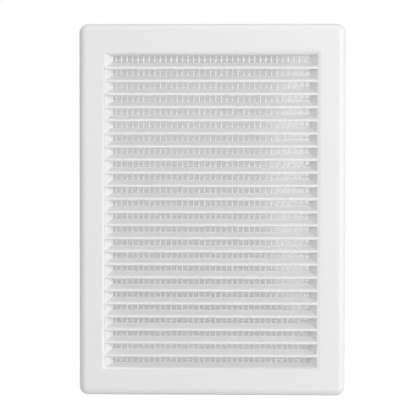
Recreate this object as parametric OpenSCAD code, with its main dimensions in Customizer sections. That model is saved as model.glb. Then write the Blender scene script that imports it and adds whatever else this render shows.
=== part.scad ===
// Louvred vent grille for a wall opening, with an insect screen.
// X runs across the wall, Z is up, and the wall surface is the plane Y = 0. The room side is -Y.
// Depths are measured from the flat face of the cover towards the wall.

/* [Cover] */
// Width of the cover
cover_w = 179; // [176:1:200]
// Height of the cover
cover_h = 250; // [248:1:280]
// Distance of the flat face from the wall
cover_d = 15; // [15:0.5:20]
// Corner radius of the outline
corner_r = 6; // [5.8:0.1:9]
// Rounding between the flat face and the outer edge
edge_r = 5.4; // [3:0.1:5.6]
// Wall thickness of the moulding
wall_t = 2; // [1.6:0.1:2.2]
// Thickness of the stiffening ribs behind the face
rib_t = 1.2; // [0.8:0.1:1.5]
// Gap left between the skirt of the cover and the wall
skirt_gap = 0.5; // [0.3:0.1:1]

/* [Opening] */
// Width between the side walls, where they would meet the face if it were not rounded
opening_w = 143.7; // [136:0.1:145]
// How far the opening sits left of the middle
opening_left = 0.75; // [0:0.05:1]
// How far the opening sits below the middle
opening_drop = 1.25; // [0:0.05:1.5]
// Slope of the side walls behind their rounding, from straight in
side_slope = 35; // [30:1:38]
// Slope of the sill under the lowest slot, from straight in
sill_slope = 23; // [8:1:24]
// Rounding where the face turns into the side walls
side_fillet = 4; // [3:0.1:4.6]
// Rounding where the face turns under the top rim
top_fillet = 3.3; // [2:0.1:3.6]
// Rounding where the face turns onto the sill
sill_fillet = 1.5; // [0.8:0.1:2]

/* [Louvres] */
// Number of blades
blade_count = 23; // [11:1:23]
// Distance from blade to blade
blade_pitch = 8.78; // [7.6:0.01:8.8]
// How far the blades sit below the middle of the opening
blades_low = 0.25; // [0:0.05:0.5]
// Height of the end slots, from the edge of the opening to the middle of the nearest blade nose
end_gap = 8.6; // [7:0.1:8.6]
// Slope of the blades, falling towards the room
blade_slope = 31; // [18:1:32]
// Thickness of a blade behind its nose
blade_t = 1.5; // [1.2:0.1:1.7]
// Height of the round nose of a blade
nose_d = 1.8; // [1.8:0.1:2.2]
// Depth of the nose tips behind the face
nose_depth = 0.7; // [0.5:0.1:1.4]
// Depth at which the blades and the sloping walls end
throat_d = 8; // [7.5:0.1:8]

/* [Insect screen] */
// Distance from strand to strand
strand_pitch = 3.75; // [3:0.05:5]
// Width of a strand
strand_w = 0.9; // [0.6:0.1:1.2]
// Thickness of each of the two layers of strands
strand_t = 0.5; // [0.4:0.05:0.6]
// How far left of the middle of the cover an upright strand runs
strand_left = 1.5; // [0:0.1:1.8]
// Width of the ledge that the screen lies on
ledge_w = 3; // [2.5:0.1:3.2]
// Thickness of the frame that holds the screen on the ledge
retainer_t = 2; // [1.5:0.1:2.2]

/* [Wall fixing] */
// Distance between the screws across the wall
screw_span_x = 158; // [157:1:159]
// Distance between the screws up the wall
screw_span_z = 232; // [231:1:233]
// Diameter of the screws over the thread
screw_d = 3.5; // [3:0.1:3.9]
// Diameter of the screws between head and thread
neck_d = 2.6; // [2.2:0.1:2.8]
// Length of the screws under the head
screw_len = 30; // [25:1:32]
// Outer diameter of the rubber washers under the screw heads
washer_d = 8.4; // [8:0.1:8.6]
// Thickness of the rubber washers
washer_t = 1.2; // [1:0.1:1.5]
// Thickness of the plate of the mounting frame
plate_t = 2.5; // [2:0.1:2.5]
// Thickness of the foam seal on the wall
seal_t = 1.5; // [1.2:0.1:1.6]

/* [Hidden] */
$fn = 96;
CLEAR = 0.3;    // play between pieces that are pushed together
OVER = 1;       // how far a cutter runs past the face that it cuts

// Places of the main faces along Y
face_y = -cover_d;
throat_y = face_y + throat_d;
screen_back_y = throat_y + 2 * strand_t;
collar_back_y = screen_back_y + retainer_t + 1;
rib_back_y = throat_y - 1;
plate_back_y = -seal_t;
plate_front_y = plate_back_y - plate_t;

// Opening, measured from its own middle
open_x = -opening_left;
open_z = -opening_drop;
opening_h = (blade_count - 1) * blade_pitch + 2 * end_gap;
throat_half_w = opening_w / 2 - throat_d * tan(side_slope);
throat_top = opening_h / 2;
throat_bottom = -opening_h / 2 + throat_d * tan(sill_slope);
throat_h = throat_top - throat_bottom;
throat_mid = (throat_top + throat_bottom) / 2;

// Collar behind the blades, which holds the screen and fits inside the mounting frame
collar_in = ledge_w;
collar_out = ledge_w + wall_t;
hook_len = 8;
hook_lip = 0.7;

// Blade section
nose_y = face_y + nose_depth + nose_d / 2;
blades_z = open_z - blades_low;
blade_back_y = throat_y - 0.2;                   // the blades end a little in front of the screen
blade_run = (blade_back_y - nose_y - blade_t / 2 * sin(blade_slope)) / cos(blade_slope);

// Mounting frame
frame_gap = 0.6;
frame_half_w = cover_w / 2 - wall_t - frame_gap;
frame_half_h = cover_h / 2 - wall_t - frame_gap;
frame_r = corner_r - wall_t - frame_gap;
frame_inset = collar_out + 0.7;
lip_t = 1.6;
lip_y = plate_front_y - 2;
screw_hole_d = screw_d + 0.7;
head_d = 2 * screw_d;
head_t = 2.4;
head_y = plate_front_y - washer_t;               // underside of the screw heads

// Snap arms on the cover and the catches that they hold on
arm_w = 9;
arm_t = 1.4;
arm_in = 7.2;                                    // from the outer edge of the cover to the arm
arm_tip_y = plate_front_y - 1.2;
barb = 1;
bite = 0.8;
barb_len = 1.8;
catch_t = 1.6;
catch_y = arm_tip_y - barb_len - CLEAR;          // back face of the catch's ledge
ledge_len = 1.8;
arm_side_z = cover_h / 4;

ARMS = [
    ["snap_arm_left_upper", 180, cover_w / 2, arm_side_z],
    ["snap_arm_left_lower", 180, cover_w / 2, -arm_side_z],
    ["snap_arm_right_upper", 0, cover_w / 2, arm_side_z],
    ["snap_arm_right_lower", 0, cover_w / 2, -arm_side_z],
    ["snap_arm_top", 90, cover_h / 2, 0],
    ["snap_arm_bottom", 270, cover_h / 2, 0]
];
CORNERS = [
    ["upper_left", -1, 1],
    ["upper_right", 1, 1],
    ["lower_left", -1, -1],
    ["lower_right", 1, -1]
];

// Extrudes a drawing of the X-Y plane up the whole height
module up_the_wall(length) {
    linear_extrude(length, center = true) children();
}

// Extrudes a drawing whose first axis is Z and whose second is Y across the wall
module across_the_wall(length) {
    rotate([0, -90, 0]) linear_extrude(length, center = true) children();
}

// Extrudes a drawing of the X-Z plane from y_front back to y_back
module through_the_wall(y_front, y_back) {
    translate([0, y_back, 0]) rotate([90, 0, 0]) linear_extrude(y_back - y_front) children();
}

// Half of a section with one rounded front corner: from the middle out to half, y0 to y1
module rounded_half(half, y0, y1, r) {
    translate([0, y0]) square([half - r, y1 - y0]);
    translate([0, y0 + r]) square([half, y1 - y0 - r]);
    translate([half - r, y0 + r]) intersection() {
        circle(r);
        translate([0, -r]) square(r);
    }
}

module rounded_section(half, y0, y1, r) {
    rounded_half(half, y0, y1, r);
    mirror([1, 0]) rounded_half(half, y0, y1, r);
}

// Block with rounded corners and a rounded front edge, built from straight runs and corner revolves
module soft_block(half_w, half_h, r, e, y0, y1) {
    across_the_wall(2 * (half_w - r)) rounded_section(half_h, y0, y1, e);
    up_the_wall(2 * (half_h - r)) rounded_section(half_w, y0, y1, e);
    for (sx = [0, 1], sz = [0, 1])
        mirror([sx, 0, 0]) mirror([0, 0, sz]) translate([half_w - r, 0, half_h - r])
            rotate([90, 0, 0]) rotate_extrude(angle = 90) mirror([0, 1]) rounded_half(r, y0, y1, e);
}

// One side of the opening in section: across from the middle, with the face rounded into the wall
module flare(edge, slope, fillet) {
    run = fillet * tan((90 - slope) / 2);
    difference() {
        polygon([
            [0, face_y - OVER],
            [edge + run, face_y - OVER],
            [edge + run, face_y],
            [edge - run * sin(slope), face_y + run * cos(slope)],
            [edge - throat_d * tan(slope), throat_y],
            [edge - throat_d * tan(slope), throat_y + OVER],
            [0, throat_y + OVER]
        ]);
        translate([edge + run, face_y + fillet]) circle(fillet);
    }
}

// The sloping mouth that is open to the room
module mouth() {
    translate([open_x, 0, open_z]) intersection() {
        up_the_wall(cover_h) {
            flare(opening_w / 2, side_slope, side_fillet);
            mirror([1, 0]) flare(opening_w / 2, side_slope, side_fillet);
        }
        across_the_wall(cover_w) {
            flare(opening_h / 2, 0, top_fillet);
            mirror([1, 0]) flare(opening_h / 2, sill_slope, sill_fillet);
        }
    }
}

// One plain side of the mouth grown by a wall thickness, without its rounding
module grown_side(edge, slope, grow, y0) {
    wide = edge + grow / cos(slope);
    polygon([
        [0, y0],
        [wide - (y0 - face_y) * tan(slope), y0],
        [wide - throat_d * tan(slope), throat_y],
        [0, throat_y]
    ]);
}

// One side of the mouth grown by a wall thickness that follows its rounding
module grown_flare(edge, slope, fillet, grow, y0) {
    centre = edge + fillet * tan((90 - slope) / 2);
    inner = fillet - grow;
    difference() {
        polygon([
            [0, y0],
            [centre, y0],
            [centre, face_y + fillet],
            [centre - inner * cos(slope), face_y + fillet - inner * sin(slope)],
            [edge + grow / cos(slope) - throat_d * tan(slope), throat_y],
            [0, throat_y]
        ]);
        translate([centre, face_y + fillet]) circle(inner);
    }
}

module grown_mouth(grow, y0) {
    translate([open_x, 0, open_z]) intersection() {
        up_the_wall(cover_h) {
            grown_flare(opening_w / 2, side_slope, side_fillet, grow, y0);
            mirror([1, 0]) grown_flare(opening_w / 2, side_slope, side_fillet, grow, y0);
        }
        across_the_wall(cover_w) {
            grown_side(opening_h / 2, 0, grow, y0);
            mirror([1, 0]) grown_side(opening_h / 2, sill_slope, grow, y0);
        }
    }
}

// Rectangle of the throat, grown on all four sides
module throat_outline(grow) {
    translate([open_x, open_z + throat_mid])
        square([2 * (throat_half_w + grow), throat_h + 2 * grow], center = true);
}

// Rounded rim with its skirt, hollow from behind
module rim() {
    difference() {
        soft_block(cover_w / 2, cover_h / 2, corner_r, edge_r, face_y, -skirt_gap);
        soft_block(cover_w / 2 - wall_t, cover_h / 2 - wall_t, corner_r - wall_t, edge_r - wall_t,
            face_y + wall_t, OVER);
    }
}

// Ledge for the screen and the collar round it, with hooks that hold the retainer
module collar() {
    through_the_wall(throat_y - wall_t, throat_y) difference() {
        throat_outline(collar_out);
        throat_outline(0);
    }
    through_the_wall(throat_y - wall_t, collar_back_y) difference() {
        throat_outline(collar_out);
        throat_outline(collar_in);
    }
    translate([open_x, 0, open_z + throat_mid]) {
        for (side = [0, 1], z = [-0.3, 0, 0.3])
            mirror([side, 0, 0]) translate([throat_half_w + collar_in, 0, z * throat_h])
                up_the_wall(hook_len) hook();
        for (side = [0, 1], x = [-0.25, 0.25])
            mirror([0, 0, side]) translate([x * 2 * throat_half_w, 0, throat_h / 2 + collar_in])
                across_the_wall(hook_len) hook();
    }
}

// Stiffening ribs under the face, which run from the walls of the mouth out to the skirt
module ribs() {
    through_the_wall(face_y + wall_t / 2, rib_back_y) {
        for (z = [-0.36, -0.12, 0.12, 0.36])
            translate([0, z * cover_h]) square([cover_w - wall_t, rib_t], center = true);
        for (x = [-0.3, -0.15, 0.15, 0.3])
            translate([x * cover_w, 0]) square([rib_t, cover_h - wall_t], center = true);
    }
}

// Wedge on the inside of the collar that snaps over the back of the retainer
module hook() {
    polygon([
        [0.5, collar_back_y - 1],
        [-hook_lip, collar_back_y - 1],
        [-hook_lip, collar_back_y - 0.7],
        [0, collar_back_y],
        [0.5, collar_back_y]
    ]);
}

// Section of one blade round the middle of its nose: a round nose with a thinner blade behind it
module blade_section() {
    circle(nose_d / 2);
    rotate(-blade_slope) translate([-blade_t / 2, 0]) square([blade_t, blade_run]);
}

module blades() {
    intersection() {
        for (i = [0:blade_count - 1])
            translate([open_x, nose_y, blades_z + (i - (blade_count - 1) / 2) * blade_pitch])
                across_the_wall(cover_w) blade_section();
        grown_mouth(wall_t / 2, face_y + nose_depth / 2);
    }
}

module louvre_front() {
    color("#f0f0ee") {
        difference() {
            union() {
                rim();
                grown_mouth(wall_t, face_y + wall_t / 2);
                collar();
                ribs();
            }
            mouth();
        }
        blades();
    }
}

// One layer of the screen: straight strands inside a flat border, as a drawing across the wall
module strand_layer(along_x) {
    count = ceil(cover_h / strand_pitch);
    slot = strand_pitch - strand_w;
    difference() {
        throat_outline(ledge_w - CLEAR);
        intersection() {
            throat_outline(0.2);
            for (i = [-count:count])
                if (along_x)
                    translate([-cover_w, i * strand_pitch + strand_w / 2]) square([2 * cover_w, slot]);
                else
                    translate([i * strand_pitch + strand_w / 2 - strand_left, -cover_h])
                        square([slot, 2 * cover_h]);
        }
    }
}

module insect_screen_uprights() {
    color("#e4e5e4") through_the_wall(throat_y, throat_y + strand_t) strand_layer(false);
}

module insect_screen_crossbars() {
    color("#dcdedd") through_the_wall(throat_y + strand_t, screen_back_y) strand_layer(true);
}

// Flat frame pushed into the collar behind the screen
module screen_retainer() {
    color("#e9eae8") through_the_wall(screen_back_y, screen_back_y + retainer_t) difference() {
        throat_outline(ledge_w - CLEAR);
        throat_outline(0.2);
    }
}

// Puts a piece of the snap joint at its place: out is measured from the middle of the cover
module at_arm(turn, out, along) {
    rotate([0, -turn, 0]) translate([out - arm_in, 0, turn == 180 ? -along : along]) children();
}

// Springy arm under the rim with a barb that points to the middle of the cover
module snap_arm(turn, out, along) {
    color("#eceded") at_arm(turn, out, along) up_the_wall(arm_w) polygon([
        [0, face_y + wall_t],
        [arm_t, face_y + wall_t],
        [arm_t, arm_tip_y],
        [0, arm_tip_y],
        [-barb, arm_tip_y - barb_len + 0.5],
        [-barb, arm_tip_y - barb_len],
        [0, arm_tip_y - barb_len]
    ]);
}

// Post on the mounting frame with a ledge in front of the barb
module catch_post() {
    up_the_wall(arm_w + 4) polygon([
        [-barb - CLEAR - catch_t, plate_front_y + 0.5],
        [-barb - CLEAR - catch_t, catch_y - ledge_len],
        [-barb - CLEAR, catch_y - ledge_len],
        [-barb + bite, catch_y - ledge_len / 2],
        [-barb + bite, catch_y],
        [-barb - CLEAR, catch_y],
        [-barb - CLEAR, plate_front_y + 0.5]
    ]);
}

// Outline of the mounting frame, drawn across the wall
module frame_outline(inset) {
    square([2 * (frame_half_w - inset), 2 * (frame_half_h - inset - frame_r)], center = true);
    square([2 * (frame_half_w - inset - frame_r), 2 * (frame_half_h - inset)], center = true);
    for (x = [-1, 1], z = [-1, 1])
        translate([x * (frame_half_w - inset - frame_r), z * (frame_half_h - inset - frame_r)])
            circle(frame_r);
}

module at_screws() {
    for (corner = CORNERS)
        translate([corner[1] * screw_span_x / 2, corner[2] * screw_span_z / 2]) children();
}

// Flat frame screwed to the wall, with a stiffening lip and six catches
module mounting_frame() {
    color("#e6e7e5") {
        through_the_wall(plate_front_y, plate_back_y) difference() {
            frame_outline(0);
            throat_outline(frame_inset);
            at_screws() circle(d = screw_hole_d);
        }
        through_the_wall(lip_y, plate_front_y + 0.5) difference() {
            throat_outline(frame_inset + lip_t);
            throat_outline(frame_inset);
        }
        for (arm = ARMS)
            at_arm(arm[1], arm[2], arm[3]) catch_post();
    }
}

// Foam strip between the mounting frame and the wall
module wall_seal() {
    color("#5a5d60") through_the_wall(plate_back_y, 0) difference() {
        frame_outline(1);
        throat_outline(frame_inset + 0.5);
        at_screws() circle(d = screw_hole_d + 0.8);
    }
}

// Round-headed screw with a cross recess, its point in the wall
module screw(x, z) {
    tip = 4;
    dome_r = 4.2;
    neck_len = -head_y;
    color("#b9bcc0") translate([x * screw_span_x / 2, head_y, z * screw_span_z / 2])
        rotate([-90, 0, 0]) difference() {
            union() {
                intersection() {
                    translate([0, 0, -head_t]) cylinder(h = head_t, d = head_d);
                    translate([0, 0, dome_r - head_t]) sphere(dome_r);
                }
                cylinder(h = neck_len, d = neck_d);
                translate([0, 0, neck_len]) cylinder(h = screw_len - tip - neck_len, d = screw_d);
                translate([0, 0, screw_len - tip]) cylinder(h = tip, d1 = screw_d, d2 = 0.4);
            }
            for (turn = [0, 90])
                rotate(turn) translate([-1.6, -0.4, -head_t - OVER]) cube([3.2, 0.8, OVER + 1.4]);
        }
}

// Rubber washer between a screw head and the mounting frame, slightly crowned at its rim
module screw_washer(x, z) {
    crown = 0.3;
    color("#2e2f31") translate([x * screw_span_x / 2, head_y, z * screw_span_z / 2])
        rotate([-90, 0, 0]) rotate_extrude() polygon([
            [neck_d / 2 + 0.1, 0],
            [washer_d / 2 - crown, 0],
            [washer_d / 2, crown],
            [washer_d / 2, washer_t - crown],
            [washer_d / 2 - crown, washer_t],
            [neck_d / 2 + 0.1, washer_t]
        ]);
}

louvre_front();
insect_screen_uprights();
insect_screen_crossbars();
screen_retainer();
for (arm = ARMS)
    snap_arm(arm[1], arm[2], arm[3]);
mounting_frame();
wall_seal();
for (corner = CORNERS)
    screw(corner[1], corner[2]);
for (corner = CORNERS)
    screw_washer(corner[1], corner[2]);
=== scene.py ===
import math

import bmesh
import bpy
from mathutils import Matrix, Vector


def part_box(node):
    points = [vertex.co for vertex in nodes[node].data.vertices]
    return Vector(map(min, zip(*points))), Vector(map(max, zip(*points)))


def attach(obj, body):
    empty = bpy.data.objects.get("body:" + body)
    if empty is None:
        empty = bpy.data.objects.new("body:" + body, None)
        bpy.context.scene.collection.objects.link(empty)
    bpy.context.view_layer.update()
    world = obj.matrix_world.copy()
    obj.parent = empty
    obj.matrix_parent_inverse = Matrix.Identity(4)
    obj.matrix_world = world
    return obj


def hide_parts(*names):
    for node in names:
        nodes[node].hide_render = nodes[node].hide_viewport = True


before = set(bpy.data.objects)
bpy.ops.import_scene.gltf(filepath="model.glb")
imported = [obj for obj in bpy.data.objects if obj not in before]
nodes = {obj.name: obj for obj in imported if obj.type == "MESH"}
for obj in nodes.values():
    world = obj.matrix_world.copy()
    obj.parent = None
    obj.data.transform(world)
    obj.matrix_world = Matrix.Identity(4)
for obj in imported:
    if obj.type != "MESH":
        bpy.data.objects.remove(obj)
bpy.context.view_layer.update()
mm = 0.001
print("frame loaded with", len(nodes), "nodes")


# the photo is taken from about 0.8 m, a little right of and above the middle
cameraSet = {
    "place": (0.01287, -0.8, 0.01656),
    "aim": (-0.00278, -0.0096, 0.00132),
    "lens": 101.52, "sensor": 36,       # millimetres
    "roll": 0.082,                      # degrees
    "near": 0.01, "far": 50,
}


def addCamera(look):
    data = bpy.data.cameras.new("photoCamera")
    data.lens = look["lens"]
    data.sensor_width = look["sensor"]
    data.clip_start = look["near"]
    data.clip_end = look["far"]
    camera = bpy.data.objects.new("photoCamera", data)
    bpy.context.scene.collection.objects.link(camera)
    place = Vector(look["place"])
    towards = (Vector(look["aim"]) - place).to_track_quat("-Z", "Y").to_matrix().to_4x4()
    roll = Matrix.Rotation(math.radians(look["roll"]), 4, "Z")
    camera.matrix_world = Matrix.Translation(place) @ towards @ roll
    bpy.context.scene.camera = camera


addCamera(cameraSet)
bpy.context.scene.view_settings.view_transform = "Standard"
print("camera set")


# node helpers
def addNode(tree, kind, **settings):
    node = tree.nodes.new(kind)
    for key, value in settings.items():
        setattr(node, key, value)
    return node


def setInputs(node, **values):
    for key, value in values.items():
        node.inputs[key.replace("_", " ")].default_value = value
    return node


def feed(tree, socket, value):
    # the value is the output of another node, a colour or a number
    if isinstance(value, bpy.types.NodeSocket):
        tree.links.new(value, socket)
    elif isinstance(value, tuple):
        socket.default_value = (*value, 1)
    else:
        socket.default_value = value


def startMaterial(name):
    material = bpy.data.materials.new(name)
    material.use_nodes = True
    tree = material.node_tree
    tree.nodes.clear()
    output = addNode(tree, "ShaderNodeOutputMaterial", location=(900, 0))
    return material, tree, output


def startGroup(name, inputs, outputs):
    group = bpy.data.node_groups.new(name, "ShaderNodeTree")
    for label, value in inputs.items():
        socket = group.interface.new_socket(name=label, in_out="INPUT", socket_type="NodeSocketFloat")
        socket.default_value = value
    for label in outputs:
        group.interface.new_socket(name=label, in_out="OUTPUT", socket_type="NodeSocketFloat")
    start = addNode(group, "NodeGroupInput", location=(-900, 0))
    end = addNode(group, "NodeGroupOutput", location=(900, 0))
    return group, start, end


def placeGroup(tree, group, **values):
    node = addNode(tree, "ShaderNodeGroup", node_tree=group)
    return setInputs(node, **values)


def mathNode(tree, operation, *values):
    node = addNode(tree, "ShaderNodeMath", operation=operation)
    for socket, value in zip(node.inputs, values):
        feed(tree, socket, value)
    return node.outputs["Value"]


def rangeNode(tree, value, span, low=0, high=1):
    node = addNode(tree, "ShaderNodeMapRange")
    setInputs(node, From_Min=span[0], From_Max=span[1], To_Min=low, To_Max=high)
    tree.links.new(value, node.inputs["Value"])
    return node.outputs["Result"]


def mixColour(tree, factor, first, second):
    node = addNode(tree, "ShaderNodeMix", data_type="RGBA")
    for place, value in ((0, factor), (6, first), (7, second)):
        feed(tree, node.inputs[place], value)
    return node.outputs[2]


def mixValue(tree, factor, first, second):
    node = addNode(tree, "ShaderNodeMix", data_type="FLOAT")
    for place, value in ((0, factor), (2, first), (3, second)):
        feed(tree, node.inputs[place], value)
    return node.outputs[0]


def bumpNode(tree, height, strength, distance):
    node = setInputs(addNode(tree, "ShaderNodeBump"), Strength=strength, Distance=distance)
    tree.links.new(height, node.inputs["Height"])
    return node.outputs["Normal"]


def raysToCamera(tree):
    # 1 where the camera looks, also by way of metal or glass
    rays = addNode(tree, "ShaderNodeLightPath")
    seen = mathNode(tree, "MAXIMUM", rays.outputs["Is Camera Ray"], rays.outputs["Is Glossy Ray"])
    return mathNode(tree, "MAXIMUM", seen, rays.outputs["Is Transmission Ray"])


# effects that more than one material uses
grainSet = {
    "scale": 2600.0, "driftScale": 14.0,
    "pitScale": 0.55,           # times the scale of the grain
    "pitHeight": 0.5,           # next to a height of 1 for the grain
}
edgeSet = {
    "radius": 0.4 * mm, "samples": 6,
    "sharp": (0.97, 0.80),      # agreement of the true and the rounded normal, from no wear to full wear
    "breakScale": 300.0, "breaks": (0.35, 0.65), "leastWear": 0.2,
}
dustSet = {
    "patchScale": 60.0, "patches": (0.38, 0.68),
    "upwards": (0.2, 0.95),     # how far a face looks up, from no dust to full dust
}


def makeGrain(look):
    # fine spark-eroded grain of a mould, with slow drifts in tone from the flow of the plastic
    group, start, end = startGroup("mouldedGrain",
                                   {"Grain Scale": look["scale"], "Drift Scale": look["driftScale"]},
                                   ["Height", "Drift"])
    place = addNode(group, "ShaderNodeTexCoord", location=(-900, -300))
    fine = setInputs(addNode(group, "ShaderNodeTexNoise"), Detail=3.0, Roughness=0.6)
    pits = setInputs(addNode(group, "ShaderNodeTexVoronoi", feature="SMOOTH_F1"), Smoothness=0.6)
    drift = setInputs(addNode(group, "ShaderNodeTexNoise"), Detail=4.0, Roughness=0.5, Distortion=0.6)
    for texture in (fine, pits, drift):
        group.links.new(place.outputs["Object"], texture.inputs["Vector"])
    pitScale = mathNode(group, "MULTIPLY", start.outputs["Grain Scale"], look["pitScale"])
    group.links.new(start.outputs["Grain Scale"], fine.inputs["Scale"])
    group.links.new(pitScale, pits.inputs["Scale"])
    group.links.new(start.outputs["Drift Scale"], drift.inputs["Scale"])
    height = mathNode(group, "MULTIPLY_ADD", pits.outputs["Distance"], look["pitHeight"],
                      fine.outputs["Fac"])
    group.links.new(height, end.inputs["Height"])
    group.links.new(drift.outputs["Fac"], end.inputs["Drift"])
    return group


def makeEdges(look):
    # 1 on sharp outer edges, broken up a little, 0 on the flats
    group, start, end = startGroup("edgeRub",
                                   {"Radius": look["radius"], "Break Scale": look["breakScale"]},
                                   ["Mask"])
    place = addNode(group, "ShaderNodeTexCoord", location=(-900, -300))
    rounded = addNode(group, "ShaderNodeBevel", samples=look["samples"])
    group.links.new(start.outputs["Radius"], rounded.inputs["Radius"])
    surface = addNode(group, "ShaderNodeNewGeometry")
    turned = addNode(group, "ShaderNodeVectorMath", operation="DOT_PRODUCT")
    group.links.new(rounded.outputs["Normal"], turned.inputs[0])
    group.links.new(surface.outputs["Normal"], turned.inputs[1])
    sharp = rangeNode(group, turned.outputs["Value"], look["sharp"])
    broken = setInputs(addNode(group, "ShaderNodeTexNoise"), Detail=3.0)
    group.links.new(place.outputs["Object"], broken.inputs["Vector"])
    group.links.new(start.outputs["Break Scale"], broken.inputs["Scale"])
    kept = rangeNode(group, broken.outputs["Fac"], look["breaks"], low=look["leastWear"])
    group.links.new(mathNode(group, "MULTIPLY", sharp, kept), end.inputs["Mask"])
    return group


def makeDust(look):
    # thin dust that lies on faces which look up, in soft patches
    group, start, end = startGroup("settledDust", {"Patch Scale": look["patchScale"]}, ["Mask"])
    place = addNode(group, "ShaderNodeTexCoord", location=(-900, -300))
    patches = setInputs(addNode(group, "ShaderNodeTexNoise"), Detail=5.0, Roughness=0.65)
    group.links.new(place.outputs["Object"], patches.inputs["Vector"])
    group.links.new(start.outputs["Patch Scale"], patches.inputs["Scale"])
    surface = addNode(group, "ShaderNodeNewGeometry")
    split = addNode(group, "ShaderNodeSeparateXYZ")
    group.links.new(surface.outputs["Normal"], split.inputs["Vector"])
    upwards = rangeNode(group, split.outputs["Z"], look["upwards"])
    patchy = rangeNode(group, patches.outputs["Fac"], look["patches"])
    group.links.new(mathNode(group, "MULTIPLY", upwards, patchy), end.inputs["Mask"])
    return group


grainGroup = makeGrain(grainSet)
edgeGroup = makeEdges(edgeSet)
dustGroup = makeDust(dustSet)


# plastics and rubber: each roughness runs from the first value to the second with the drift
plasticLooks = {
    "whiteCoverPlastic": {
        "colour": (0.87, 0.87, 0.87), "driftColour": (0.86, 0.86, 0.858),
        "rubbed": (0.89, 0.89, 0.89), "dusty": (0.66, 0.65, 0.635),
        "roughness": (0.38, 0.47), "rubbedRoughness": 0.30, "ior": 1.47,
        "grainScale": 2600.0, "grainStrength": 0.12, "dust": 0.05, "edge": 0.4 * mm,
    },
    "whiteInnerPlastic": {
        "colour": (0.82, 0.825, 0.82), "driftColour": (0.80, 0.803, 0.795),
        "rubbed": (0.86, 0.86, 0.855), "dusty": (0.55, 0.54, 0.515),
        "roughness": (0.46, 0.55), "rubbedRoughness": 0.34, "ior": 1.47,
        "grainScale": 1900.0, "grainStrength": 0.2, "dust": 0.16, "edge": 0.5 * mm,
    },
    # lighter than the cover's plastic: painted light for the strands of the uprights, which lie in the shade
    # of the blades
    "netPlasticPaintedLight": {
        "colour": (0.96, 0.96, 0.958), "driftColour": (0.95, 0.95, 0.947),
        "rubbed": (0.96, 0.96, 0.96), "dusty": (0.72, 0.71, 0.69),
        "roughness": (0.34, 0.43), "rubbedRoughness": 0.30, "ior": 1.49,
        "grainScale": 3800.0, "grainStrength": 0.1, "dust": 0.15, "edge": 0.1 * mm,
        "through": 1.0, "throughDepth": 0.5 * mm,       # thin strands let light through
    },
    # the same net plastic made greyer: painted shade from the blades that hang over the crossbars
    "netPlasticPaintedShade": {
        "colour": (0.86, 0.86, 0.858), "driftColour": (0.84, 0.84, 0.837),
        "rubbed": (0.87, 0.87, 0.87), "dusty": (0.60, 0.59, 0.57),
        "roughness": (0.38, 0.47), "rubbedRoughness": 0.34, "ior": 1.49,
        "grainScale": 3800.0, "grainStrength": 0.1, "dust": 0.15, "edge": 0.1 * mm,
        "through": 1.0, "throughDepth": 0.5 * mm,
    },
    "washerRubber": {
        "colour": (0.045, 0.046, 0.048), "driftColour": (0.06, 0.06, 0.06),
        "rubbed": (0.09, 0.09, 0.09), "dusty": (0.28, 0.27, 0.25),
        "roughness": (0.58, 0.67), "rubbedRoughness": 0.5, "ior": 1.52,
        "grainScale": 2200.0, "grainStrength": 0.4, "dust": 0.12, "edge": 0.2 * mm,
    },
}
wearSet = {
    "drift": (0.35, 0.65), "satin": (0.3, 0.7),
    "rub": 0.6,                 # share of the rubbed colour on a sharp edge
    "dustRoughness": 0.9,
    "grainHeight": 0.1 * mm,
}


def makePlastic(name, look, wear):
    material, tree, output = startMaterial(name)
    shader = addNode(tree, "ShaderNodeBsdfPrincipled", location=(600, 0))
    setInputs(shader, IOR=look["ior"])
    if "through" in look:
        setInputs(shader, Subsurface_Weight=look["through"], Subsurface_Scale=look["throughDepth"])
        shader.inputs["Subsurface Radius"].default_value = (1, 1, 1)
    grain = placeGroup(tree, grainGroup, Grain_Scale=look["grainScale"])
    edges = placeGroup(tree, edgeGroup, Radius=look["edge"])
    dust = placeGroup(tree, dustGroup)
    rubbed = mathNode(tree, "MULTIPLY", edges.outputs["Mask"], wear["rub"])
    dusty = mathNode(tree, "MULTIPLY", dust.outputs["Mask"], look["dust"])
    drift = rangeNode(tree, grain.outputs["Drift"], wear["drift"])
    drifted = mixColour(tree, drift, look["colour"], look["driftColour"])
    worn = mixColour(tree, rubbed, drifted, look["rubbed"])
    tree.links.new(mixColour(tree, dusty, worn, look["dusty"]), shader.inputs["Base Color"])
    satin = rangeNode(tree, grain.outputs["Drift"], wear["satin"], *look["roughness"])
    polished = mixValue(tree, edges.outputs["Mask"], satin, look["rubbedRoughness"])
    tree.links.new(mixValue(tree, dusty, polished, wear["dustRoughness"]), shader.inputs["Roughness"])
    bump = bumpNode(tree, grain.outputs["Height"], look["grainStrength"], wear["grainHeight"])
    tree.links.new(bump, shader.inputs["Normal"])
    tree.links.new(shader.outputs["BSDF"], output.inputs["Surface"])
    return material


foamLook = {
    "colour": (0.085, 0.09, 0.095), "pore": (0.03, 0.032, 0.034),
    "poreScale": 1500.0, "poreEdge": (0.15, 0.45), "poreStrength": 0.8, "poreHeight": 0.2 * mm,
    "lumpScale": 300.0, "lumps": (0.3, 0.7), "roughness": (0.84, 0.92),
    "ior": 1.4, "sheen": 0.15, "sheenRoughness": 0.6,
}


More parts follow.
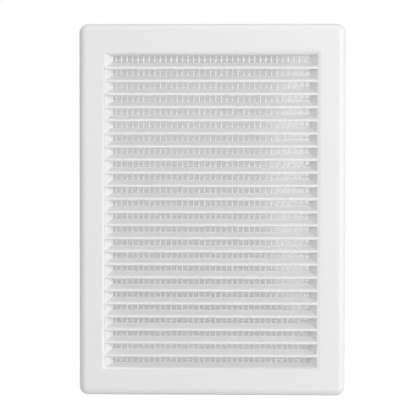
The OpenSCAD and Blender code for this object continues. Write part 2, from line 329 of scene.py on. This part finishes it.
def makeFoam(name, look):
    material, tree, output = startMaterial(name)
    shader = addNode(tree, "ShaderNodeBsdfPrincipled", location=(600, 0))
    setInputs(shader, IOR=look["ior"], Sheen_Weight=look["sheen"], Sheen_Roughness=look["sheenRoughness"])
    place = addNode(tree, "ShaderNodeTexCoord")
    cells = setInputs(addNode(tree, "ShaderNodeTexVoronoi", feature="F1"), Scale=look["poreScale"])
    lumps = setInputs(addNode(tree, "ShaderNodeTexNoise"), Scale=look["lumpScale"], Detail=4.0)
    for texture in (cells, lumps):
        tree.links.new(place.outputs["Object"], texture.inputs["Vector"])
    hollow = rangeNode(tree, cells.outputs["Distance"], look["poreEdge"], low=1, high=0)
    tone = mathNode(tree, "MULTIPLY", hollow, lumps.outputs["Fac"])
    tree.links.new(mixColour(tree, tone, look["colour"], look["pore"]), shader.inputs["Base Color"])
    matt = rangeNode(tree, lumps.outputs["Fac"], look["lumps"], *look["roughness"])
    tree.links.new(matt, shader.inputs["Roughness"])
    bump = bumpNode(tree, cells.outputs["Distance"], look["poreStrength"], look["poreHeight"])
    tree.links.new(bump, shader.inputs["Normal"])
    tree.links.new(shader.outputs["BSDF"], output.inputs["Surface"])
    return material


zincLook = {
    "colour": (0.66, 0.67, 0.69), "warm": (0.71, 0.68, 0.60), "rubbed": (0.80, 0.80, 0.81),
    "cloudScale": 270.0, "clouds": (0.4, 0.62),
    "turnScale": 900.0, "turnStretch": (1, 6, 1), "turns": (0.3, 0.7), "roughness": (0.20, 0.40),
    "turnStrength": 0.15, "turnHeight": 0.05 * mm,
    "edge": 0.25 * mm,
}


def makeZinc(name, look):
    # bright zinc with a warm cast in clouds, and fine marks from turning
    material, tree, output = startMaterial(name)
    shader = addNode(tree, "ShaderNodeBsdfPrincipled", location=(600, 0))
    setInputs(shader, Metallic=1.0)
    place = addNode(tree, "ShaderNodeTexCoord")
    clouds = setInputs(addNode(tree, "ShaderNodeTexNoise"), Scale=look["cloudScale"], Detail=4.0)
    turned = setInputs(addNode(tree, "ShaderNodeTexNoise"), Scale=look["turnScale"], Detail=2.0)
    stretched = setInputs(addNode(tree, "ShaderNodeMapping"), Scale=look["turnStretch"])
    tree.links.new(place.outputs["Object"], clouds.inputs["Vector"])
    tree.links.new(place.outputs["Object"], stretched.inputs["Vector"])
    tree.links.new(stretched.outputs["Vector"], turned.inputs["Vector"])
    edges = placeGroup(tree, edgeGroup, Radius=look["edge"])
    cloudy = rangeNode(tree, clouds.outputs["Fac"], look["clouds"])
    plated = mixColour(tree, cloudy, look["colour"], look["warm"])
    worn = mixColour(tree, edges.outputs["Mask"], plated, look["rubbed"])
    tree.links.new(worn, shader.inputs["Base Color"])
    satin = rangeNode(tree, turned.outputs["Fac"], look["turns"], *look["roughness"])
    tree.links.new(satin, shader.inputs["Roughness"])
    bump = bumpNode(tree, turned.outputs["Fac"], look["turnStrength"], look["turnHeight"])
    tree.links.new(bump, shader.inputs["Normal"])
    tree.links.new(shader.outputs["BSDF"], output.inputs["Surface"])
    return material


finishes = {name: makePlastic(name, look, wearSet) for name, look in plasticLooks.items()}
finishes["foamSeal"] = makeFoam("foamSeal", foamLook)
finishes["zincPlated"] = makeZinc("zincPlated", zincLook)
print("materials made:", ", ".join(finishes))


# mesh helpers
meshSet = {
    "weld": 0.002 * mm,         # corners of a node's mesh that are closer than this become one
    "spinWeld": 0.001 * mm,     # the same for a spun piece
    "flat": 0.3,                # degrees between two faces of a node, below which they become one
}


def meshObject(name, bm):
    mesh = bpy.data.meshes.new(name)
    bm.to_mesh(mesh)
    bm.free()
    made = bpy.data.objects.new(name, mesh)
    bpy.context.scene.collection.objects.link(made)
    return made


def addPiece(name, bm, body, finish, smoothBelow):
    piece = meshObject(name, bm)
    piece.data.materials.append(finishes[finish])
    piece.data.shade_smooth()
    piece.data.set_sharp_from_angle(angle=math.radians(smoothBelow))
    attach(piece, body)
    return piece


def mergedCopy(node):
    # the node's triangles joined up, with flat faces made whole again
    bm = bmesh.new()
    bm.from_mesh(nodes[node].data)
    bmesh.ops.remove_doubles(bm, verts=bm.verts, dist=meshSet["weld"])
    bmesh.ops.dissolve_limit(bm, angle_limit=math.radians(meshSet["flat"]), verts=bm.verts, edges=bm.edges)
    return bm


def joinInto(bm, other):
    mesh = bpy.data.meshes.new("joined")
    other.to_mesh(mesh)
    other.free()
    bm.from_mesh(mesh)
    bpy.data.meshes.remove(mesh)


def softEdges(piece, width, segments, sharpAbove):
    bevel = piece.modifiers.new("softEdges", "BEVEL")
    bevel.width = width
    bevel.segments = segments
    bevel.limit_method = "ANGLE"
    bevel.angle_limit = math.radians(sharpAbove)
    bevel.harden_normals = True


def vertsOf(geometry):
    return [part for part in geometry if isinstance(part, bmesh.types.BMVert)]


def edgesOf(geometry):
    return [part for part in geometry if isinstance(part, bmesh.types.BMEdge)]


def standingSheet(low, high, depth):
    # one face that stands upright at this depth and fills the width and height of the box
    bm = bmesh.new()
    upright = Matrix.Rotation(math.radians(90), 4, "X")
    bmesh.ops.create_grid(bm, x_segments=1, y_segments=1, size=0.5, matrix=upright)
    bmesh.ops.scale(bm, vec=(high.x - low.x, 1, high.z - low.z), verts=bm.verts)
    bmesh.ops.translate(bm, vec=((low.x + high.x) / 2, depth, (low.z + high.z) / 2), verts=bm.verts)
    return bm


def capitalWords(words):
    return words.title().replace("_", "")


# cover: a copy of the moulding, with the ends of its stiffening ribs drawn back onto the rounded edge
coverSet = {
    "edge": 5.4 * mm,           # radius of the edge round the face
    "smoothBelow": 28,          # degrees between two faces that shade as one, here and below
}


def drawIn(bm, low, high, radius):
    # what stands out of the rounded edge at the sides, top or bottom comes back onto it
    for v in bm.verts:
        deep = low.y + radius - v.co.y
        for axis in (0, 2):
            middle = high[axis] - radius
            over = abs(v.co[axis]) - middle
            reach = math.hypot(over, deep)
            if over > 0 and deep > 0 and reach > radius:
                v.co[axis] = math.copysign(middle + over * radius / reach, v.co[axis])
                v.co.y = low.y + radius - deep * radius / reach


coverCopy = mergedCopy("louvre_front")
drawIn(coverCopy, *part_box("louvre_front"), coverSet["edge"])
cover = addPiece("louvreCover", coverCopy, "front_cover", "whiteCoverPlastic",
                 smoothBelow=coverSet["smoothBelow"])
evened = cover.modifiers.new("evenNormals", "WEIGHTED_NORMAL")
evened.keep_sharp = True
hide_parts("louvre_front")
print("cover made,", len(cover.data.polygons), "faces")


# insect screen: round strands welded where they cross, in a flat edge strip
netSet = {
    "pitch": 3.75 * mm,
    "shift": -1.5 * mm,         # an upright runs this far from the middle
    "width": 0.9 * mm,          # of the uprights
    "backWidth": 0.55 * mm,     # of the crossbars behind them, which hardly show in the photo
    "sides": 8,
    "weld": 1.25,               # how much a strand swells where it crosses another
    "weldLength": 0.9 * mm,
    "edge": 2.5 * mm,           # width of the edge strip
    "edgeRounding": 0.08 * mm,
    "edgeAngle": 60,            # degrees, above which an edge of the strip is rounded
    "smoothBelow": 50,
}


def strandPlaces(low, high, pitch, shift):
    first = math.ceil((low - shift) / pitch)
    last = math.floor((high - shift) / pitch)
    return [shift + i * pitch for i in range(first, last + 1)]


def strandMesh(start, stop, welds, width, thick, look):
    # one strand along Z that swells at each weld, with its ends in the edge strip
    half = look["weldLength"] / 2
    rings = [(start - look["edge"] / 2, 1.0)]
    for weld in welds:
        rings += [(weld - half, 1.0), (weld, look["weld"]), (weld + half, 1.0)]
    rings.append((stop + look["edge"] / 2, 1.0))
    bm = bmesh.new()
    bmesh.ops.create_circle(bm, cap_ends=False, segments=look["sides"], radius=0.5)
    bmesh.ops.scale(bm, vec=(width, thick, 1), verts=bm.verts)
    bmesh.ops.translate(bm, vec=(0, 0, rings[0][0]), verts=bm.verts)
    edges = bm.edges[:]
    for (along, swell), (nextAlong, nextSwell) in zip(rings, rings[1:]):
        made = bmesh.ops.extrude_edge_only(bm, edges=edges)["geom"]
        edges = edgesOf(made)
        bmesh.ops.translate(bm, vec=(0, 0, nextAlong - along), verts=vertsOf(made))
        bmesh.ops.scale(bm, vec=(nextSwell / swell, 1, 1), verts=vertsOf(made))
    return bm


def edgeStrip(low, high, look):
    bm = standingSheet(low, high, low.y)
    inner = bm.faces[:]
    bmesh.ops.inset_region(bm, faces=inner, thickness=look["edge"], use_even_offset=True)
    bmesh.ops.delete(bm, geom=inner, context="FACES")
    grown = bmesh.ops.extrude_face_region(bm, geom=bm.faces[:], use_keep_orig=True)["geom"]
    bmesh.ops.translate(bm, vec=(0, high.y - low.y, 0), verts=vertsOf(grown))
    bmesh.ops.recalc_face_normals(bm, faces=bm.faces)
    sharp = [e for e in bm.edges if e.calc_face_angle(0) > math.radians(look["edgeAngle"])]
    bmesh.ops.bevel(bm, geom=sharp, offset=look["edgeRounding"], offset_type="OFFSET", affect="EDGES",
                    segments=2, profile=0.5, material=-1)
    return bm


def addNetLayer(name, node, upright, look):
    low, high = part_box(node)
    thick = high.y - low.y
    middle = (low.y + high.y) / 2
    margin = Vector((look["edge"], 0, look["edge"]))
    inLow = low + margin
    inHigh = high - margin
    acrossX = strandPlaces(inLow.x, inHigh.x, look["pitch"], look["shift"])
    acrossZ = strandPlaces(inLow.z, inHigh.z, look["pitch"], 0)
    if upright:
        bm = strandMesh(inLow.z, inHigh.z, acrossZ, look["width"], thick, look)
        first = Vector((acrossX[0], middle, 0))
        step = Vector((look["pitch"], 0, 0))
        count = len(acrossX)
    else:
        bm = strandMesh(inLow.x, inHigh.x, acrossX, look["backWidth"], thick, look)
        lying = Matrix.Rotation(math.radians(90), 3, "Y")
        bmesh.ops.rotate(bm, cent=(0, 0, 0), matrix=lying, verts=bm.verts)
        first = Vector((0, middle, acrossZ[0]))
        step = Vector((0, 0, look["pitch"]))
        count = len(acrossZ)
    bmesh.ops.translate(bm, vec=first, verts=bm.verts)
    strand = bm.verts[:] + bm.edges[:] + bm.faces[:]
    for i in range(1, count):
        copied = bmesh.ops.duplicate(bm, geom=strand)["geom"]
        bmesh.ops.translate(bm, vec=step * i, verts=vertsOf(copied))
    joinInto(bm, edgeStrip(low, high, look))
    # the uprights take the lighter net plastic, painted light, and the crossbars the greyer one, painted
    # shade
    finish = "netPlasticPaintedLight" if upright else "netPlasticPaintedShade"
    piece = addPiece(name, bm, "front_cover", finish, smoothBelow=look["smoothBelow"])
    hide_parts(node)


addNetLayer("netUprights", "insect_screen_uprights", True, netSet)
addNetLayer("netCrossbars", "insect_screen_crossbars", False, netSet)
print("insect screen made")


# plain moulded pieces: copies of their nodes with softened edges
mouldedSet = {
    "retainerRounding": 0.25 * mm, "frameRounding": 0.2 * mm, "armRounding": 0.15 * mm,
    "segments": 2,
    "sharpAbove": 32,           # degrees, above which an edge is softened and below which it shades smooth
}
snapArms = ("left_upper", "left_lower", "right_upper", "right_lower", "top", "bottom")


def addMoulded(name, node, body, rounding, look):
    piece = addPiece(name, mergedCopy(node), body, "whiteInnerPlastic",
                     smoothBelow=look["sharpAbove"])
    softEdges(piece, rounding, look["segments"], look["sharpAbove"])
    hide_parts(node)


addMoulded("netRetainer", "screen_retainer", "front_cover", mouldedSet["retainerRounding"], mouldedSet)
addMoulded("wallFrame", "mounting_frame", "wall_side", mouldedSet["frameRounding"], mouldedSet)
for arm in snapArms:
    addMoulded("snapArm" + capitalWords(arm), "snap_arm_" + arm, "front_cover", mouldedSet["armRounding"],
               mouldedSet)
print("moulded inner pieces made")


# foam seal on the wall side
foamSet = {
    "rounding": 0.35 * mm, "segments": 3,
    "sharpAbove": 32,
}
foamPiece = addPiece("foamStrip", mergedCopy("wall_seal"), "wall_side", "foamSeal",
                     smoothBelow=foamSet["sharpAbove"])
softEdges(foamPiece, foamSet["rounding"], foamSet["segments"], foamSet["sharpAbove"])
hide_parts("wall_seal")
print("foam seal made")


# screws: pan head with a cross recess, a core and a wood thread that runs out at the point
screwSet = {
    "length": 30 * mm,          # from the underside of the head
    "headRadius": 3.5 * mm, "headHeight": 2.4 * mm,
    "domeRadius": 4.2 * mm, "domeWidth": 0.97, "domeSteps": 8,      # width as a share of the head's
    "brimRounding": 0.2 * mm, "headChamfer": 0.15 * mm,
    "neckRadius": 1.3 * mm, "neckLength": 5.2 * mm, "neckRounding": 0.3 * mm,
    "coreRadius": 1.22 * mm,
    "point": 5 * mm, "tipRadius": 0.6, "tipLength": 0.4,            # shares of the core and of the point
    "recessWidth": 0.8 * mm, "recessSpan": 3.4 * mm, "recessDepth": 1.5 * mm,
    "recessTaper": (0.45, 0.7, 1),
    "sides": 48,
    "smoothBelow": 35,
}
threadSet = {
    "radius": 1.75 * mm, "pitch": 1.5 * mm,
    "halfWidth": 0.32,          # of the ridge, in pitches
    "sunk": 0.05 * mm,          # foot of the ridge inside the core
    "steps": 20,                # in one turn
    "runIn": 0.3,               # height of the ridge under the neck, as a share of its full height
    "tipHeight": 0.2, "tipCore": 0.05,      # least shares of ridge and core at the point
}


def spinProfile(points, sides):
    # the points are pairs of radius and height
    bm = bmesh.new()
    line = [bm.verts.new((radius, 0, height)) for radius, height in points]
    edges = [bm.edges.new(pair) for pair in zip(line, line[1:])]
    bmesh.ops.spin(bm, geom=line + edges, cent=(0, 0, 0), axis=(0, 0, 1), angle=math.radians(360),
                   steps=sides, use_merge=True)
    bmesh.ops.remove_doubles(bm, verts=bm.verts, dist=meshSet["spinWeld"])
    bmesh.ops.recalc_face_normals(bm, faces=bm.faces)
    return bm


def screwThread(look, thread):
    # ridge of three points wound round the core, drawn in at both ends
    bm = bmesh.new()
    half = thread["pitch"] * thread["halfWidth"]
    foot = look["coreRadius"] - thread["sunk"]
    corners = ((foot, 0, -half), (thread["radius"], 0, 0), (foot, 0, half))
    ridge = [bm.verts.new(corner) for corner in corners]
    edges = [bm.edges.new(pair) for pair in zip(ridge, ridge[1:] + ridge[:1])]
    turns = (look["length"] - look["neckLength"] - thread["pitch"]) / thread["pitch"]
    steps = int(turns * thread["steps"])
    step = Vector((0, 0, thread["pitch"] / thread["steps"]))
    bmesh.ops.spin(bm, geom=ridge + edges, cent=(0, 0, 0), axis=(0, 0, 1), dvec=step,
                   angle=math.radians(360) * steps / thread["steps"], steps=steps, use_merge=False)
    bmesh.ops.translate(bm, vec=(0, 0, look["neckLength"]), verts=bm.verts)
    bmesh.ops.holes_fill(bm, edges=[e for e in bm.edges if e.is_boundary], sides=4)
    bmesh.ops.recalc_face_normals(bm, faces=bm.faces)
    for v in bm.verts:
        toPoint = (look["length"] - v.co.z) / look["point"]
        toHead = (v.co.z - look["neckLength"]) / thread["pitch"] + thread["runIn"]
        atPoint = toPoint * (1 - thread["tipHeight"]) + thread["tipHeight"]
        core = look["coreRadius"] * max(thread["tipCore"], min(1, toPoint))
        radius = math.hypot(v.co.x, v.co.y)
        drawn = core + (radius - look["coreRadius"]) * max(0, min(1, atPoint, toHead))
        v.co.x *= drawn / radius
        v.co.y *= drawn / radius
    return bm


def screwProfile(look):
    # from the top of the head to the point, with the underside of the head at height 0
    head, neck, core = look["headRadius"], look["neckRadius"], look["coreRadius"]
    domeTurn = math.asin(head * look["domeWidth"] / look["domeRadius"])
    points = []
    for i in range(look["domeSteps"] + 1):
        angle = domeTurn * i / look["domeSteps"]
        fall = look["domeRadius"] * (1 - math.cos(angle))
        points.append((look["domeRadius"] * math.sin(angle), fall - look["headHeight"]))
    points += [(head, points[-1][1] + look["brimRounding"]), (head, -look["headChamfer"])]
    points += [(head - look["headChamfer"], 0)]
    points += [(neck + look["neckRounding"], 0), (neck, look["neckRounding"])]
    points += [(neck, look["neckLength"] - look["neckRounding"]), (core, look["neckLength"])]
    points += [(core, look["length"] - look["point"])]
    points += [(core * look["tipRadius"], look["length"] - look["point"] * look["tipLength"])]
    points += [(0, look["length"])]
    return points


def crossRecess(look):
    # two tapered bars across each other, as deep as they stand out of the head
    bm = bmesh.new()
    for turn in (0, 90):
        bar = bmesh.ops.create_cube(bm, size=1)["verts"]
        deepEnd = [v for v in bar if v.co.z > 0]
        size = (look["recessSpan"], look["recessWidth"], look["recessDepth"] * 2)
        bmesh.ops.scale(bm, vec=size, verts=bar)
        bmesh.ops.scale(bm, vec=look["recessTaper"], verts=deepEnd)
        across = Matrix.Rotation(math.radians(turn), 3, "Z")
        bmesh.ops.rotate(bm, cent=(0, 0, 0), matrix=across, verts=bar)
    bmesh.ops.translate(bm, vec=(0, 0, -look["headHeight"]), verts=bm.verts)
    return bm


def screwMesh(look, thread):
    body = meshObject("screwBody", spinProfile(screwProfile(look), look["sides"]))
    cutter = meshObject("screwRecess", crossRecess(look))
    cut = body.modifiers.new("recess", "BOOLEAN")
    cut.operation = "DIFFERENCE"
    cut.solver = "EXACT"
    cut.use_self = True
    cut.object = cutter
    bpy.context.view_layer.update()
    done = bpy.data.meshes.new_from_object(body.evaluated_get(bpy.context.evaluated_depsgraph_get()))
    bm = bmesh.new()
    bm.from_mesh(done)
    for thing in (body, cutter):
        bpy.data.objects.remove(thing)
    bpy.data.meshes.remove(done)
    joinInto(bm, screwThread(look, thread))
    return bm


# rubber washers under the heads, with a rounded rim
washerSet = {
    "play": 0.1 * mm,           # between the bore and the neck of the screw
    "boreChamfer": 0.1 * mm,
    "flatTo": 0.45 * mm,        # the rim starts to round this far in
    "shoulder": 0.18 * mm, "shoulderHeight": 0.08 * mm,
    "belly": 0.03 * mm, "bellyHeight": 0.3,         # the height is a share of the thickness
    "sides": 48,
    "smoothBelow": 40,
}


def washerProfile(bore, outer, thick, look):
    # lower half of the section from the bore out to the rim, then the same half back above it
    lower = [(bore, look["boreChamfer"]), (bore + look["boreChamfer"], 0), (outer - look["flatTo"], 0),
             (outer - look["shoulder"], look["shoulderHeight"]),
             (outer - look["belly"], thick * look["bellyHeight"])]
    upper = [(radius, thick - height) for radius, height in reversed(lower)]
    return lower + [(outer, thick / 2)] + upper + lower[:1]


def addRound(name, bm, node, depth, finish, smoothBelow):
    # a piece that was spun round Z is turned into the wall and set at the middle of its node
    low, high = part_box(node)
    intoWall = Matrix.Rotation(math.radians(-90), 3, "X")
    bmesh.ops.rotate(bm, cent=(0, 0, 0), matrix=intoWall, verts=bm.verts)
    bmesh.ops.translate(bm, vec=((low.x + high.x) / 2, depth, (low.z + high.z) / 2), verts=bm.verts)
    piece = addPiece(name, bm, "wall_side", finish, smoothBelow=smoothBelow)
    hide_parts(node)


for corner in ("upper_left", "upper_right", "lower_left", "lower_right"):
    low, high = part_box("screw_" + corner)
    addRound("screw" + capitalWords(corner), screwMesh(screwSet, threadSet), "screw_" + corner,
             high.y - screwSet["length"], "zincPlated", screwSet["smoothBelow"])
    low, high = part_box("washer_" + corner)
    section = washerProfile(screwSet["neckRadius"] + washerSet["play"], (high.x - low.x) / 2, high.y - low.y,
                            washerSet)
    addRound("washer" + capitalWords(corner), spinProfile(section, washerSet["sides"]), "washer_" + corner,
             low.y, "washerRubber", washerSet["smoothBelow"])
print("screws and washers made")


# floor, and the backdrop that shows through the net, which glows with painted shade and a painted pool of
# light
floorSet = {
    "height": -0.35, "size": 12,
    "colour": (0.80, 0.80, 0.80), "roughness": 0.9,
    "lift": (0.55, 0.86),       # added for the camera only, so that the floor is white
    "liftReach": (0.6, 1.6),    # distances from the middle at which it has these strengths
}
cardSet = {
    # painted shade: tone of the backdrop by height in millimetres, standing in for the grille's shadow on it
    "paintedShadeTones": [(-110, 0.50), (-94, 0.53), (-80, 0.48), (-60, 0.49), (-30, 0.52), (20, 0.55), (70, 0.58),
              (94, 0.57), (104, 0.50)],
    # painted pool of light: a soft round lighter area at the right of the backdrop, where light would fall
    # past the grille
    "lightPoolMiddle": (379 * mm, 0, 14 * mm), "lightPoolRadius": 340 * mm, "lightPoolBlur": 12 * mm,
    "lightPoolTone": 0.165,
    "lightPoolFoot": (-94 * mm, -52 * mm),      # heights over which the patch comes in
    "margin": 1.2 * mm,
    "depth": -0.4 * mm,
}


def makeFloorMaterial(look):
    material, tree, output = startMaterial("stageFloor")
    shader = setInputs(addNode(tree, "ShaderNodeBsdfPrincipled"), Roughness=look["roughness"])
    feed(tree, shader.inputs["Base Color"], look["colour"])
    place = addNode(tree, "ShaderNodeTexCoord")
    away = addNode(tree, "ShaderNodeVectorMath", operation="LENGTH")
    tree.links.new(place.outputs["Object"], away.inputs[0])
    fade = rangeNode(tree, away.outputs["Value"], look["liftReach"], *look["lift"])
    lift = addNode(tree, "ShaderNodeEmission")
    tree.links.new(mathNode(tree, "MULTIPLY", raysToCamera(tree), fade), lift.inputs["Strength"])
    both = addNode(tree, "ShaderNodeAddShader")
    tree.links.new(shader.outputs["BSDF"], both.inputs[0])
    tree.links.new(lift.outputs["Emission"], both.inputs[1])
    tree.links.new(both.outputs["Shader"], output.inputs["Surface"])
    return material


def makeCardMaterial(look, cardLow, cardHigh):
    # glows pale grey by height as painted shade, lighter in a big soft round painted pool of light at the
    # right, clear from behind
    material, tree, output = startMaterial("paintedLightCard")
    place = addNode(tree, "ShaderNodeTexCoord")
    split = addNode(tree, "ShaderNodeSeparateXYZ")
    tree.links.new(place.outputs["Object"], split.inputs["Vector"])
    grey = addNode(tree, "ShaderNodeValToRGB")
    stops = grey.color_ramp.elements
    for stop in stops[1:]:
        stops.remove(stop)
    for i, (height, tone) in enumerate(look["paintedShadeTones"]):
        at = (height * mm - cardLow.z) / (cardHigh.z - cardLow.z)
        stop = stops.new(at) if i else stops[0]
        stop.position = at
        stop.color = (tone, tone, tone, 1)
    upwards = rangeNode(tree, split.outputs["Z"], (cardLow.z, cardHigh.z))
    tree.links.new(upwards, grey.inputs["Fac"])
    # painted pool of light, added to the painted shade
    away = addNode(tree, "ShaderNodeVectorMath", operation="DISTANCE")
    tree.links.new(place.outputs["Object"], away.inputs[0])
    away.inputs[1].default_value = look["lightPoolMiddle"]
    blur = (look["lightPoolRadius"] + look["lightPoolBlur"], look["lightPoolRadius"] - look["lightPoolBlur"])
    lightPool = rangeNode(tree, away.outputs["Value"], blur, high=look["lightPoolTone"])
    lightPool.node.interpolation_type = "SMOOTHSTEP"
    kept = rangeNode(tree, split.outputs["Z"], look["lightPoolFoot"])
    # the backdrop glows with its painted shade and painted light, though it is no lamp
    paintedGlow = addNode(tree, "ShaderNodeEmission")
    strength = mathNode(tree, "ADD", grey.outputs["Color"], mathNode(tree, "MULTIPLY", lightPool, kept))
    tree.links.new(strength, paintedGlow.inputs["Strength"])
    clear = addNode(tree, "ShaderNodeBsdfTransparent")
    side = addNode(tree, "ShaderNodeNewGeometry")
    choose = addNode(tree, "ShaderNodeMixShader")
    tree.links.new(side.outputs["Backfacing"], choose.inputs["Fac"])
    tree.links.new(paintedGlow.outputs["Emission"], choose.inputs[1])
    tree.links.new(clear.outputs["BSDF"], choose.inputs[2])
    tree.links.new(choose.outputs["Shader"], output.inputs["Surface"])
    return material


def addFloor(look):
    bm = bmesh.new()
    lowered = Matrix.Translation((0, 0, look["height"]))
    bmesh.ops.create_grid(bm, x_segments=1, y_segments=1, size=look["size"] / 2, matrix=lowered)
    floor = meshObject("stageFloor", bm)
    floor.data.materials.append(makeFloorMaterial(look))


def addCard(look):
    # a glowing sheet of painted shade, a little larger than the net, close in front of the wall
    low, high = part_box("insect_screen_uprights")
    margin = Vector((look["margin"], 0, look["margin"]))
    low = low - margin
    high = high + margin
    backdrop = meshObject("paintedLightCard", standingSheet(low, high, look["depth"]))
    backdrop.data.materials.append(makeCardMaterial(look, low, high))


addFloor(floorSet)
addCard(cardSet)
print("stage made")


# lamps and world
ambientStrength = 0.20
lampSet = {
    "keyLamp": {"place": (1.01, -0.79, 0.0), "size": 0.35, "power": 4.3},       # from the right, level
    "sideLamp": {"place": (1.22, -0.30, 0.0), "size": 0.3, "power": 1.3},       # along the face
    "highLamp": {"place": (0.60, -1.04, 0.45), "size": 0.3, "power": 4.25},     # from in front and above
    "skyLamp": {"place": (0.1, -0.25, 1.2), "size": 0.5, "power": 3.7},         # down onto the blades
    "fillLamp": {"place": (-0.9, -0.8, 0.3), "size": 0.6, "power": 3.2},        # soft, from the left
}


def addWorld(strength):
    # plain white for the camera, and a weak white light for the object
    world = bpy.data.worlds.new("studioWorld")
    world.use_nodes = True
    tree = world.node_tree
    tree.nodes.clear()
    ambient = setInputs(addNode(tree, "ShaderNodeBackground"), Strength=strength)
    ambient.inputs["Color"].default_value = (1, 1, 1, 1)
    white = setInputs(addNode(tree, "ShaderNodeBackground"), Strength=1.0)
    white.inputs["Color"].default_value = (1, 1, 1, 1)
    choose = addNode(tree, "ShaderNodeMixShader")
    tree.links.new(raysToCamera(tree), choose.inputs["Fac"])
    tree.links.new(ambient.outputs["Background"], choose.inputs[1])
    tree.links.new(white.outputs["Background"], choose.inputs[2])
    output = addNode(tree, "ShaderNodeOutputWorld")
    tree.links.new(choose.outputs["Shader"], output.inputs["Surface"])
    bpy.context.scene.world = world


def addLamp(name, look):
    data = bpy.data.lights.new(name, "AREA")
    data.shape = "SQUARE"
    data.size = look["size"]
    data.energy = look["power"]
    lamp = bpy.data.objects.new(name, data)
    bpy.context.scene.collection.objects.link(lamp)
    lamp.location = look["place"]
    lamp.rotation_euler = (-Vector(look["place"])).to_track_quat("-Z", "Y").to_euler()


addWorld(ambientStrength)
for lampName, lampLook in lampSet.items():
    addLamp(lampName, lampLook)
print("light set")
